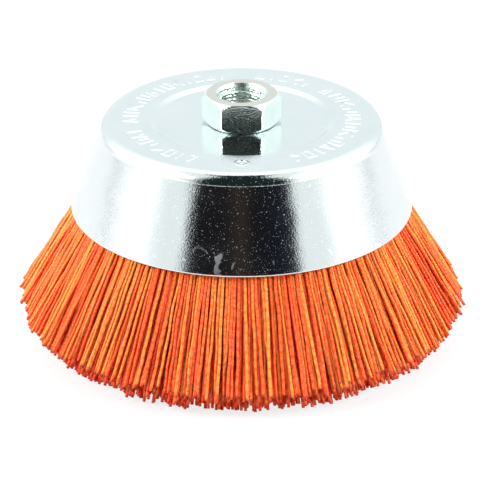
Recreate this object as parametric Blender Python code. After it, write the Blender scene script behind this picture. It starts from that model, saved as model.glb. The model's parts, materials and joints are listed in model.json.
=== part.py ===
"""Filament cup brush for an angle grinder, as separate pieces at real size.

A pressed steel cup and an inner plate are clamped together by a threaded hex
nut, whose spigot is swaged over a washer.  Nylon bristles are folded over a
wire ring in the channel between cup and plate, and run out past the cup's rim.
The folds stay clamped in the cup.  The free lengths are grouped in bundles,
and each bundle bends outwards or inwards about the cup's rim.

Metres, +Z up.  The origin is on the spin axis, level with the lowest bristle
tips.  One flat of the hex faces -Y.
"""

import math

import bmesh
import bpy
from mathutils import Vector

MM = 0.001
FULL_TURN = 2 * math.pi
GAP = 0.3 * MM  # kept between solids that touch on the real brush

# Driving dimensions: cup
RIM_Z = 44.0 * MM  # height of the cup's rim above the bristle tips
CUP_HEIGHT = 31.1 * MM
CUP_RIM_R = 58.0 * MM
CUP_TOP_FLAT_R = 43.5 * MM
CUP_CORNER_R = 4.5 * MM
CUP_SHEET = 1.5 * MM
RECESS_TOP_R = 31.0 * MM
RECESS_FLOOR_R = 29.0 * MM
RECESS_DEPTH = 1.0 * MM

# Driving dimensions: nut, 5/8-11 UNC thread
NUT_HEIGHT = 10.2 * MM
NUT_ACROSS_FLATS = 23.8 * MM
NUT_FACE_R = 12.2 * MM
NUT_CHAMFER_ANGLE = math.radians(48)  # from the horizontal
SPIGOT_R = 10.0 * MM
SWAGED_LIP_R = 12.6 * MM
SWAGED_LIP_HEIGHT = 1.6 * MM
SWAGED_LIP_BEVEL = 0.5 * MM
THREAD_PITCH = 25.4 / 11 * MM
THREAD_MAJOR_R = 7.94 * MM
THREAD_MINOR_R = 6.75 * MM
THREAD_CREST = 0.25  # widths of the thread's flats, as shares of the pitch
THREAD_ROOT = 0.125
THREAD_MOUTH_R = 8.65 * MM
THREAD_END_R = 8.0 * MM  # the smaller countersink, at the swaged end

# Driving dimensions: clamping stack below the cup's centre
PLATE_SHEET = 1.5 * MM
PLATE_FLAT_R = 25.0 * MM
PLATE_BEND_R = 27.9 * MM
PLATE_BEND_DROP = 1.6 * MM
PLATE_EDGE_R = 42.3 * MM
PLATE_EDGE_RISE = 3.9 * MM  # of the plate's edge above the cup's rim
WASHER_R = 17.0 * MM
WASHER_THICKNESS = 2.0 * MM

# Driving dimensions: bristles and the ring they are folded over
RING_R = 40.25 * MM
RING_DROP = 9.5 * MM  # of the ring's centre below the cup's top
RING_WIRE_R = 2.0 * MM
FOLD_R = 7.3 * MM
BUNDLES = 24
PACK_THICKNESS = 12.1 * MM  # of all the bristles, where they leave the cup
FLARE_R = 62.4 * MM  # where the outermost bristles have bent out to their full slope
FLARE_Z = 34.5 * MM
TIP_OUTER_R = 76.0 * MM
TIP_OUTER_Z = 9.8 * MM
TIP_MID_R = 69.8 * MM
TIP_INNER_R = 57.5 * MM
BUNDLE_TOP_DROP = 0.9 * MM  # of the inner top edge, so that a bundle can bend inwards
RIM_SIDE_CLEAR = math.radians(0.25)
TIP_SIDE_CLEAR = math.radians(0.60)

# Facets
SEGMENTS = 48
ARC_STEPS = 4
FOLD_STEPS = 5
WIRE_SIDES = 10
BUNDLE_STEPS = 2
THREAD_SEGMENTS = 24

# Places worked out from the driving dimensions
TOP_Z = RIM_Z + CUP_HEIGHT
FLOOR_Z = TOP_Z - RECESS_DEPTH
NUT_BOTTOM_Z = FLOOR_Z + GAP
NUT_TOP_Z = FLOOR_Z + NUT_HEIGHT
PLATE_TOP_Z = FLOOR_Z - CUP_SHEET - GAP
PLATE_EDGE_Z = RIM_Z + PLATE_EDGE_RISE
WASHER_TOP_Z = PLATE_TOP_Z - PLATE_SHEET - GAP
LIP_TOP_Z = WASHER_TOP_Z - WASHER_THICKNESS - GAP
SPIGOT_BOTTOM_Z = LIP_TOP_Z - SWAGED_LIP_HEIGHT
RING_Z = TOP_Z - RING_DROP
SECTOR = FULL_TURN / BUNDLES


# Tools for meshes and objects


def material(name, colour, roughness, metallic):
    """A Principled material."""
    made = bpy.data.materials.new(name)
    made.use_nodes = True
    shader = made.node_tree.nodes["Principled BSDF"]
    shader.inputs["Base Color"].default_value = (*colour, 1.0)
    shader.inputs["Roughness"].default_value = roughness
    shader.inputs["Metallic"].default_value = metallic
    return made


def mesh_from(bm, name):
    """Turns a bmesh into a smooth-shaded mesh that keeps its sharp edges."""
    bmesh.ops.remove_doubles(bm, verts=bm.verts, dist=1e-7)
    bmesh.ops.recalc_face_normals(bm, faces=bm.faces)
    mesh = bpy.data.meshes.new(name)
    bm.to_mesh(mesh)
    bm.free()
    mesh.shade_smooth()
    mesh.set_sharp_from_angle(angle=math.radians(35))
    return mesh


def place(name, mesh, finish):
    """Puts a node's object in the scene."""
    made = bpy.data.objects.new(name, mesh)
    bpy.context.scene.collection.objects.link(made)
    if not mesh.materials:
        mesh.materials.append(finish)
    return made


def combine(body, operation, name, mesh):
    """Adds an exact Boolean with a guide body that isn't a node itself."""
    guide = bpy.data.objects.new(name, mesh)
    bpy.context.scene.collection.objects.link(guide)
    guide.hide_render = True
    guide.display_type = "WIRE"
    modifier = body.modifiers.new(name, "BOOLEAN")
    modifier.operation = operation
    modifier.solver = "EXACT"
    modifier.object = guide


def turned_ring(name, outline, segments=SEGMENTS):
    """A closed outline of (radius, height) points, clear of the Z axis, turned about it."""
    bm = bmesh.new()
    verts = [bm.verts.new((r, 0, z)) for r, z in outline]
    edges = [bm.edges.new(pair) for pair in zip(verts, verts[1:] + verts[:1])]
    bmesh.ops.spin(
        bm,
        geom=verts + edges,
        cent=(0, 0, 0),
        axis=(0, 0, 1),
        angle=FULL_TURN,
        steps=segments,
        use_merge=True,
    )
    return mesh_from(bm, name)


def turned_plug(name, outline, segments=SEGMENTS):
    """A solid of revolution with a flat cap at the first and last (radius, height) point."""
    bm = bmesh.new()
    turns = [FULL_TURN * i / segments for i in range(segments)]
    rings = [[bm.verts.new((r * math.cos(a), r * math.sin(a), z)) for a in turns] for r, z in outline]
    for low, high in zip(rings, rings[1:]):
        for i in range(segments):
            after = (i + 1) % segments
            bm.faces.new((low[i], low[after], high[after], high[i]))
    bm.faces.new(rings[0])
    bm.faces.new(rings[-1])
    return mesh_from(bm, name)


def arc(centre, radius, start, end, steps):
    """Points on an arc in the (radius, height) plane, both ends included."""
    angles = [start + (end - start) * i / steps for i in range(steps + 1)]
    return [(centre[0] + radius * math.cos(a), centre[1] + radius * math.sin(a)) for a in angles]


def right_of(run):
    """The unit vector to the right of a run."""
    return Vector((run.y, -run.x)).normalized()


def offset_path(path, distance):
    """A path moved to its right by a distance, with mitred corners."""
    points = [Vector(p) for p in path]
    runs = [(b - a).normalized() for a, b in zip(points, points[1:])]
    moved = []
    for i, point in enumerate(points):
        before = runs[max(i - 1, 0)]
        after = runs[min(i, len(runs) - 1)]
        right = right_of(before + after)
        moved.append(tuple(point + right * distance / right.dot(right_of(after))))
    return moved


# Cup


def wall_lean():
    """The angle of the cup wall's normal above the horizontal, for a straight
    wall from the corner's arc to the rim that leaves the arc without a kink."""
    reach = Vector((CUP_RIM_R - CUP_TOP_FLAT_R, RIM_Z - TOP_Z + CUP_CORNER_R))
    return math.acos(CUP_CORNER_R / reach.length) + math.atan2(reach.y, reach.x)


def cup_skin():
    """The cup's outer surface, from its centre hole to its rim."""
    corner = (CUP_TOP_FLAT_R, TOP_Z - CUP_CORNER_R)
    return [
        (SPIGOT_R + GAP, FLOOR_Z),
        (RECESS_FLOOR_R, FLOOR_Z),
        (RECESS_TOP_R, TOP_Z),
        *arc(corner, CUP_CORNER_R, math.pi / 2, wall_lean(), ARC_STEPS),
        (CUP_RIM_R, RIM_Z),
    ]


def outer_cup(finish):
    """The pressed cup: recessed centre, rounded corner and flared wall."""
    skin = cup_skin()
    lining = offset_path(skin, CUP_SHEET)
    place("outer_cup", turned_ring("outer_cup", skin + lining[::-1]), finish)


def lip():
    """The rim's inner edge, which the bristles bend about."""
    return Vector(offset_path(cup_skin(), CUP_SHEET)[-1])


# Nut


def nut_head():
    """The turned shape that chamfers the hex at both ends."""
    outer = NUT_ACROSS_FLATS / math.sqrt(3) + GAP
    drop = (outer - NUT_FACE_R) * math.tan(NUT_CHAMFER_ANGLE)
    outline = [
        (NUT_FACE_R, NUT_BOTTOM_Z),
        (outer, NUT_BOTTOM_Z + drop),
        (outer, NUT_TOP_Z - drop),
        (NUT_FACE_R, NUT_TOP_Z),
    ]
    return turned_plug("arbor_nut", outline)


def hex_bar():
    """A hex bar longer than the nut's head, with one flat facing -Y."""
    corner_r = NUT_ACROSS_FLATS / math.sqrt(3)
    outline = [(corner_r, NUT_BOTTOM_Z - MM), (corner_r, NUT_TOP_Z + MM)]
    return turned_plug("hex_bar", outline, segments=6)


def spigot():
    """The turned spigot below the head, with its swaged lip."""
    outline = [
        (SWAGED_LIP_R - SWAGED_LIP_BEVEL, SPIGOT_BOTTOM_Z),
        (SWAGED_LIP_R, SPIGOT_BOTTOM_Z + SWAGED_LIP_BEVEL),
        (SWAGED_LIP_R, LIP_TOP_Z),
        (SPIGOT_R, LIP_TOP_Z),
        (SPIGOT_R, NUT_BOTTOM_Z + MM),
    ]
    return turned_plug("spigot", outline)


def bore():
    """The thread's minor bore, countersunk at both ends."""
    outline = [
        (THREAD_END_R + MM, SPIGOT_BOTTOM_Z - MM),
        (THREAD_MINOR_R, SPIGOT_BOTTOM_Z + THREAD_END_R - THREAD_MINOR_R),
        (THREAD_MINOR_R, NUT_TOP_Z - THREAD_MOUTH_R + THREAD_MINOR_R),
        (THREAD_MOUTH_R + MM, NUT_TOP_Z + MM),
    ]
    return turned_plug("bore", outline, THREAD_SEGMENTS)


def thread_groove():
    """The thread's groove: a trapezium swept along a helix past both ends of the bore."""
    minor_half = (1 - THREAD_CREST) * THREAD_PITCH / 2
    root_half = THREAD_ROOT * THREAD_PITCH / 2
    slope = (minor_half - root_half) / (THREAD_MAJOR_R - THREAD_MINOR_R)
    inner_r = THREAD_MINOR_R - GAP
    inner_half = minor_half + slope * GAP
    section = [
        (inner_r, -inner_half),
        (THREAD_MAJOR_R, -root_half),
        (THREAD_MAJOR_R, root_half),
        (inner_r, inner_half),
    ]
    start_z = SPIGOT_BOTTOM_Z - THREAD_PITCH
    turns = (NUT_TOP_Z + THREAD_PITCH - start_z) / THREAD_PITCH
    bm = bmesh.new()
    rows = []
    for step in range(math.ceil(turns * THREAD_SEGMENTS) + 1):
        a = FULL_TURN * step / THREAD_SEGMENTS
        z = start_z + THREAD_PITCH * step / THREAD_SEGMENTS
        rows.append([bm.verts.new((r * math.cos(a), r * math.sin(a), z + dz)) for r, dz in section])
    for row, following in zip(rows, rows[1:]):
        for i in range(len(section)):
            after = (i + 1) % len(section)
            bm.faces.new((row[i], row[after], following[after], following[i]))
    bm.faces.new(rows[0])
    bm.faces.new(rows[-1])
    return mesh_from(bm, "thread_groove")


def arbor_nut(finish):
    """The threaded hex nut, with a spigot swaged under the clamping stack."""
    nut = place("arbor_nut", nut_head(), finish)
    combine(nut, "INTERSECT", "hex_bar", hex_bar())
    combine(nut, "UNION", "spigot", spigot())
    combine(nut, "DIFFERENCE", "bore", bore())
    combine(nut, "DIFFERENCE", "thread_groove", thread_groove())


# Clamping stack


def plate_skin():
    """The inner plate's upper surface, from its centre hole to its edge."""
    return [
        (SPIGOT_R + GAP, PLATE_TOP_Z),
        (PLATE_FLAT_R, PLATE_TOP_Z),
        (PLATE_BEND_R, PLATE_TOP_Z - PLATE_BEND_DROP),
        (PLATE_EDGE_R, PLATE_EDGE_Z),
    ]


def inner_plate(finish):
    """The dished plate that holds the bristles against the cup's wall."""
    skin = plate_skin()
    lining = offset_path(skin, PLATE_SHEET)
    place("inner_plate", turned_ring("inner_plate", skin + lining[::-1]), finish)


def clamp_washer(finish):
    """The thick washer above the nut's swaged lip."""
    inner, low = SPIGOT_R + GAP, WASHER_TOP_Z - WASHER_THICKNESS
    outline = [(inner, WASHER_TOP_Z), (WASHER_R, WASHER_TOP_Z), (WASHER_R, low), (inner, low)]
    place("clamp_washer", turned_ring("clamp_washer", outline), finish)


# Bristles


def anchor_ring(finish):
    """The steel wire ring that the bristles are folded over."""
    outline = arc((RING_R, RING_Z), RING_WIRE_R, 0, FULL_TURN, WIRE_SIDES)[:-1]
    place("anchor_ring", turned_ring("anchor_ring", outline), finish)


def bristle_folds(finish):
    """The bristles' roots: over the ring, and down each side of it to the lip."""
    ring = Vector((RING_R, RING_Z))
    bend, edge = (Vector(p) for p in plate_skin()[-2:])
    plate_normal = -right_of(edge - bend)
    plate_angle = math.atan2(-plate_normal.y, -plate_normal.x) + FULL_TURN
    outer = arc(ring, FOLD_R, plate_angle, wall_lean(), FOLD_STEPS)

    corner = lip()
    wall = Vector((math.sin(wall_lean()), -math.cos(wall_lean())))
    outer_end = Vector(outer[-1])
    outer_exit = outer_end + wall * (outer_end.y - corner.y) / -wall.y
    inner_exit = Vector((corner.x - PACK_THICKNESS, corner.y))
    inner_turn = edge + plate_normal * GAP + Vector((0, -GAP))

    middle = (outer_exit + inner_exit) / 2
    parting = (middle - ring).normalized()
    side = right_of(parting) * GAP
    hole_r = RING_WIRE_R + GAP
    down = math.atan2(parting.y, parting.x)
    cleft = math.asin(GAP / hole_r)
    hole = arc(ring, hole_r, down + cleft, down + FULL_TURN - cleft, 2 * FOLD_STEPS)
    outline = [
        *outer,
        tuple(outer_exit),
        tuple(middle - side),
        *hole,
        tuple(middle + side),
        tuple(inner_exit),
        tuple(inner_turn),
    ]
    place("bristle_folds", turned_ring("bristle_folds", outline), finish)


def bundle_mesh():
    """One bundle's free length, with its local origin on the lip and +X outwards."""
    corner = lip()
    rim_half = SECTOR / 2 - RIM_SIDE_CLEAR
    tip_half = SECTOR / 2 - TIP_SIDE_CLEAR
    top = corner.y - GAP
    section = [
        (corner.x - GAP, top, rim_half),
        (FLARE_R, FLARE_Z, (rim_half + tip_half) / 2),
        (TIP_OUTER_R, TIP_OUTER_Z, tip_half),
        (TIP_MID_R, 0, tip_half),
        (TIP_INNER_R, 0, tip_half),
        (corner.x - PACK_THICKNESS, top - BUNDLE_TOP_DROP, rim_half),
    ]
    bm = bmesh.new()
    slices = []
    for step in range(BUNDLE_STEPS + 1):
        share = 2 * step / BUNDLE_STEPS - 1
        points = [(r * math.cos(share * h), r * math.sin(share * h), z) for r, z, h in section]
        slices.append([bm.verts.new((x - corner.x, y, z - corner.y)) for x, y, z in points])
    for here, beside in zip(slices, slices[1:]):
        for i in range(len(section)):
            after = (i + 1) % len(section)
            bm.faces.new((here[i], here[after], beside[after], beside[i]))
    bm.faces.new(slices[0])
    bm.faces.new(slices[-1])
    return mesh_from(bm, "bristle_bundle")


def bristle_bundles(finish):
    """The bundles around the rim, each with its origin on its hinge axis."""
    corner = lip()
    mesh = bundle_mesh()
    for i in range(BUNDLES):
        a = SECTOR * i
        bundle = place(f"bristle_bundle_{i + 1:02d}", mesh, finish)
        bundle.location = (corner.x * math.cos(a), corner.x * math.sin(a), corner.y)
        bundle.rotation_euler.z = a


def main():
    for old in list(bpy.data.objects):
        bpy.data.objects.remove(old)
    zinc = material("zinc_plated_steel", (0.66, 0.68, 0.70), 0.22, 1.0)
    dark_zinc = material("zinc_plated_inner_steel", (0.50, 0.52, 0.54), 0.35, 1.0)
    wire = material("steel_wire", (0.40, 0.40, 0.41), 0.40, 1.0)
    nylon = material("abrasive_nylon", (0.90, 0.20, 0.03), 0.55, 0.0)
    outer_cup(zinc)
    arbor_nut(zinc)
    inner_plate(dark_zinc)
    clamp_washer(dark_zinc)
    anchor_ring(wire)
    bristle_folds(nylon)
    bristle_bundles(nylon)


main()
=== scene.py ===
"""The looks of a flared filament cup brush, built round its CAD frame.

The metal pieces are fine turned and pressed forms in zinc-plated steel.  The
bristles are separate crimped filaments, folded over the anchor ring and
grouped in the frame's bundles.

Metres, +Z up, in the frame of the CAD model.
"""

import json
import logging
import math
from collections.abc import Callable, Sequence
from dataclasses import dataclass
from enum import Enum
from typing import Any

import bmesh
import bpy
import numpy as np
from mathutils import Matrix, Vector

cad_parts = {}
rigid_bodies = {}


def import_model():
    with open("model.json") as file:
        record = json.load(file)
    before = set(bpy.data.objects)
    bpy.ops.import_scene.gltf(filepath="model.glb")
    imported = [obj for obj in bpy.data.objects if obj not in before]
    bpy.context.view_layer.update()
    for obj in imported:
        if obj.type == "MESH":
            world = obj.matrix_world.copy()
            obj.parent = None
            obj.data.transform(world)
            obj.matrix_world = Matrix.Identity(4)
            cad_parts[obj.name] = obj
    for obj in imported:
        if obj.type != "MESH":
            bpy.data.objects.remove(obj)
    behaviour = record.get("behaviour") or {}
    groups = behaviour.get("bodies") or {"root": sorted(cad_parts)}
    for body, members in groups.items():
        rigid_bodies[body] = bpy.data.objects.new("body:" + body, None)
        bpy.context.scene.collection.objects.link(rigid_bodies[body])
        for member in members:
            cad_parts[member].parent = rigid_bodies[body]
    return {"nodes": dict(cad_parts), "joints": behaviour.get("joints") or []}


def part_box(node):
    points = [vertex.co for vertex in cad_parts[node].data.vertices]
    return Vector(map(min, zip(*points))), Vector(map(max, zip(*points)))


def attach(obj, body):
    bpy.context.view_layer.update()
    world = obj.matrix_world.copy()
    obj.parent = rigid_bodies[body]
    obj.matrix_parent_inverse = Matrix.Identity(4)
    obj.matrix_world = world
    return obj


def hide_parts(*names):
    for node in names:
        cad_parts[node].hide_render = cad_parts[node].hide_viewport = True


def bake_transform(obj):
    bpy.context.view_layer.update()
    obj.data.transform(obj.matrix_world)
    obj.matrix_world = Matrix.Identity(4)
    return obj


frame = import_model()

LOG = logging.getLogger("cup_brush")
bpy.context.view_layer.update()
MM = 0.001
FULL_TURN = 2 * math.pi
LEVEL = 1e-6  # metres: heights closer than this are the same
CUP_BODY = "cup"
BUNDLE = "bristle_bundle_"

Point = tuple[float, float]
Section = list[Point]
Colour = tuple[float, float, float, float]
Row = tuple[Any, ...]
Rows = dict[str, Row]

SUMS = (
    "ADD", "SUBTRACT", "MULTIPLY", "DIVIDE", "MULTIPLY_ADD", "POWER", "ABSOLUTE", "FLOOR",
    "MODULO", "MINIMUM", "MAXIMUM", "GREATER_THAN", "SINE", "ARCTAN2",
)
TONE_AND_SHADE = "strand_tone"  # the bristles' attributes: own colour mixed with painted shade by depth in the bundle, and place along the free length
ALONG = "strand_along"
COORDS = "ShaderNodeTexCoord"
AXES = "ShaderNodeSeparateXYZ"
VECTOR = "ShaderNodeCombineXYZ"
VECTOR_SUM = "ShaderNodeVectorMath"
NOISE = "ShaderNodeTexNoise"
SPAN = "ShaderNodeMapRange"
RAMP = "ShaderNodeValToRGB"
MIX = "ShaderNodeMix"
BUMP = "ShaderNodeBump"
IN_COLOUR = {"data_type": "RGBA"}
SMOOTHLY = {"interpolation_type": "SMOOTHSTEP"}
FALLING = {"To Min": 1.0, "To Max": 0.0}


# ---------------------------------------------------------------- helpers


def linear(code: str) -> Colour:
    """Turns an sRGB hex colour into Blender's linear colour.

    Args:
        code: The colour, with its leading hash.

    Returns:
        Its red, green, blue and alpha.
    """
    channels = [int(code[i : i + 2], 16) / 255 for i in (1, 3, 5)]
    red, green, blue = (c / 12.92 if c <= 0.04045 else ((c + 0.055) / 1.055) ** 2.4 for c in channels)
    return (red, green, blue, 1.0)


def even(light: float) -> Colour:
    """A grey of this much linear light."""
    return (light, light, light, 1.0)


def result(node: bpy.types.Node, name: str = "") -> bpy.types.NodeSocket:
    """The output of a node that is in use, by name or the first one."""
    return next(s for s in node.outputs if s.enabled and name in ("", s.name))


def add_node(
    tree: bpy.types.NodeTree, kind: str, feeds: dict[str | int, Any], settings: dict[str, Any]
) -> bpy.types.Node:
    """Adds a node with its settings, values and links.

    Args:
        tree: The node tree.
        kind: The node's type name.
        feeds: Input name or index, to a value, or to the socket or node that feeds it.
        settings: The node's own properties, and a colour ramp's colours by place, in order, as stops.

    Returns:
        The node.
    """
    node = tree.nodes.new(kind)
    for name, value in settings.items():
        if name == "stops":
            ends = node.color_ramp.elements
            ends[0].color, ends[1].color = value[0.0], value[1.0]
            for place in list(value)[1:-1]:
                ends.new(place).color = value[place]
        else:
            setattr(node, name, value)
    for key, value in feeds.items():
        by_name = (socket for socket in node.inputs if socket.enabled and socket.name == key)
        socket = node.inputs[key] if isinstance(key, int) else next(by_name)
        source = result(value) if isinstance(value, bpy.types.Node) else value
        if isinstance(source, bpy.types.NodeSocket):
            tree.links.new(source, socket)
        else:
            socket.default_value = source
    return node


def add_rows(
    tree: bpy.types.NodeTree, rows: Rows, given: dict[str, bpy.types.NodeSocket] | None = None
) -> dict[str, Any]:
    """Adds a table of nodes to a tree.

    A row is a sum with its terms, or a node's type with its inputs and any
    settings.  A term is a value or the name of an earlier row, with the name of
    its output after a colon if it isn't the first one.

    Args:
        tree: The node tree.
        rows: The rows, by name.
        given: Sockets that the rows may name too.

    Returns:
        The nodes and the given sockets, by name.
    """
    made: dict[str, Any] = dict(given or {})
    for name, (kind, *rest) in rows.items():
        is_sum = kind in SUMS
        feeds = dict(enumerate(rest)) if is_sum else rest[0]
        settings = {"operation": kind} if is_sum else dict(*rest[1:])
        sources = {}
        for key, term in feeds.items():
            row, _, output = term.partition(":") if isinstance(term, str) else (term, "", "")
            source = made[row] if row in made else term
            sources[key] = result(source, output) if isinstance(source, bpy.types.Node) else source
        made[name] = add_node(tree, "ShaderNodeMath" if is_sum else kind, sources, settings)
    return made


def make_material(name: str, rows: Rows, feeds: dict[str, Any]) -> bpy.types.Material:
    """Makes a material.

    Args:
        name: Its name.
        rows: The rows of its nodes, before the shader.
        feeds: The shader's inputs, to a row's name or to a value on the shader itself.

    Returns:
        The material.
    """
    made = bpy.data.materials.new(name)
    made.use_nodes = True
    tree = made.node_tree
    shader = tree.nodes["Principled BSDF"]
    nodes = add_rows(tree, rows)
    for socket, value in feeds.items():
        if value in nodes:
            tree.links.new(result(nodes[value]), shader.inputs[socket])
        else:
            shader.inputs[socket].default_value = value
    return made


def rounded(corners: Sequence[tuple[float, float, float]], step: float = 0.5 * MM) -> Section:
    """Rounds the corners of a closed outline.

    Args:
        corners: Radius, height and rounding radius of each corner, in order.
        step: The longest step along an arc, which has four steps at least.

    Returns:
        The outline's points.
    """
    points: Section = []
    count = len(corners)
    for i, (r, z, rounding) in enumerate(corners):
        here = Vector((r, z))
        if rounding <= 0:
            points.append((r, z))
            continue
        back = Vector(corners[i - 1][:2]) - here
        ahead = Vector(corners[(i + 1) % count][:2]) - here
        half = back.angle(ahead) / 2
        reach = min(rounding / math.tan(half), 0.49 * min(back.length, ahead.length))
        radius = reach * math.tan(half)
        centre = here + (back.normalized() + ahead.normalized()).normalized() * radius / math.sin(half)
        start = here + back.normalized() * reach - centre
        end = here + ahead.normalized() * reach - centre
        sweep = start.angle_signed(end)
        first = math.atan2(start.y, start.x)
        parts = max(4, math.ceil(abs(sweep) * radius / step))
        for part in range(parts + 1):
            a = first - sweep * part / parts
            points.append((centre.x + radius * math.cos(a), centre.y + radius * math.sin(a)))
    return points


def densified(
    section: Section, pitch: Callable[[float, float], float], guard: float = 0.2 * MM
) -> Section:
    """Adds points to a closed outline wherever its runs are longer than a pitch.

    Args:
        section: The outline.
        pitch: The longest run allowed near a radius and height.
        guard: A long run gets points this far from its ends, so that its shading stays flat.

    Returns:
        The outline with the added points.
    """
    points: Section = []
    for (r0, z0), (r1, z1) in zip(section, section[1:] + section[:1]):
        run = math.hypot(r1 - r0, z1 - z0)
        parts = max(1, math.ceil(run / pitch((r0 + r1) / 2, (z0 + z1) / 2)))
        shares = {i / parts for i in range(parts)}
        if run > 5 * guard * parts:
            shares |= {guard / run, 1 - guard / run}
        points += [(r0 + (r1 - r0) * share, z0 + (z1 - z0) * share) for share in sorted(shares)]
    return points


def spun(section: Section, turns: int) -> tuple[np.ndarray, np.ndarray, np.ndarray]:
    """Repeats an outline at every turn angle.

    Args:
        section: The outline.
        turns: Steps round the axis.

    Returns:
        Each point's radius, height and turn angle, one row per angle.
    """
    outline = np.array(section)
    radii, heights = (np.tile(outline[:, i], (turns, 1)) for i in (0, 1))
    angles = np.arange(turns)[:, None] * FULL_TURN / turns
    return radii, heights, np.tile(angles, (1, len(section)))


def revolved(
    name: str, radii: np.ndarray, heights: np.ndarray, *finishes: bpy.types.Material
) -> bpy.types.Object:
    """Makes a closed ring from one outline per turn angle, and dresses it.

    Args:
        name: The piece's name.
        radii: Radius of each outline point, one row per angle.
        heights: Height of each outline point, one row per angle.
        finishes: Its materials.

    Returns:
        The piece, smooth-shaded, with its faces outwards.
    """
    turns, count = radii.shape
    angles = np.arange(turns)[:, None] * FULL_TURN / turns
    places = np.stack([radii * np.cos(angles), radii * np.sin(angles), heights], axis=-1).reshape(-1, 3)
    i, j = np.meshgrid(np.arange(turns), np.arange(count), indexing="ij")
    ahead, beside = (i + 1) % turns, (j + 1) % count
    quads = np.stack([i * count + j, ahead * count + j, ahead * count + beside, i * count + beside], axis=-1)
    mesh = bpy.data.meshes.new(name)
    mesh.from_pydata(places.tolist(), [], quads.reshape(-1, 4).tolist())
    for finish in finishes:
        mesh.materials.append(finish)
    return shaded_piece(name, mesh)


def turned(name: str, section: Section, turns: int, finish: bpy.types.Material) -> bpy.types.Object:
    """Makes a plain ring from one closed outline, in so many steps round the axis."""
    radii, heights, _ = spun(section, turns)
    return revolved(name, radii, heights, finish)


def shaded_piece(name: str, mesh: bpy.types.Mesh, sharp_degrees: float = 50) -> bpy.types.Object:
    """Links a mesh as a piece, with outward faces and smooth shading.

    Args:
        name: The piece's name.
        mesh: Its mesh, in the frame's coordinates.
        sharp_degrees: Edges that turn more than this stay sharp.

    Returns:
        The piece.
    """
    bm = bmesh.new()
    bm.from_mesh(mesh)
    bmesh.ops.recalc_face_normals(bm, faces=bm.faces)
    bm.to_mesh(mesh)
    bm.free()
    mesh.shade_smooth()
    mesh.set_sharp_from_angle(angle=math.radians(sharp_degrees))
    piece = bpy.data.objects.new(name, mesh)
    bpy.context.scene.collection.objects.link(piece)
    return piece


def ramp(value: np.ndarray, low: float, high: float) -> np.ndarray:
    """A smooth step from 0 at low to 1 at high."""
    share = np.clip((value - low) / (high - low), 0, 1)
    return share * share * (3 - 2 * share)


# ---------------------------------------------------------------- finishes


class ZincGrade(Enum):
    """How the zinc plate looks on each kind of piece."""

    PRESSED = "pressed"
    MACHINED = "machined"
    FACED = "faced"
    INNER = "inner"


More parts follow.
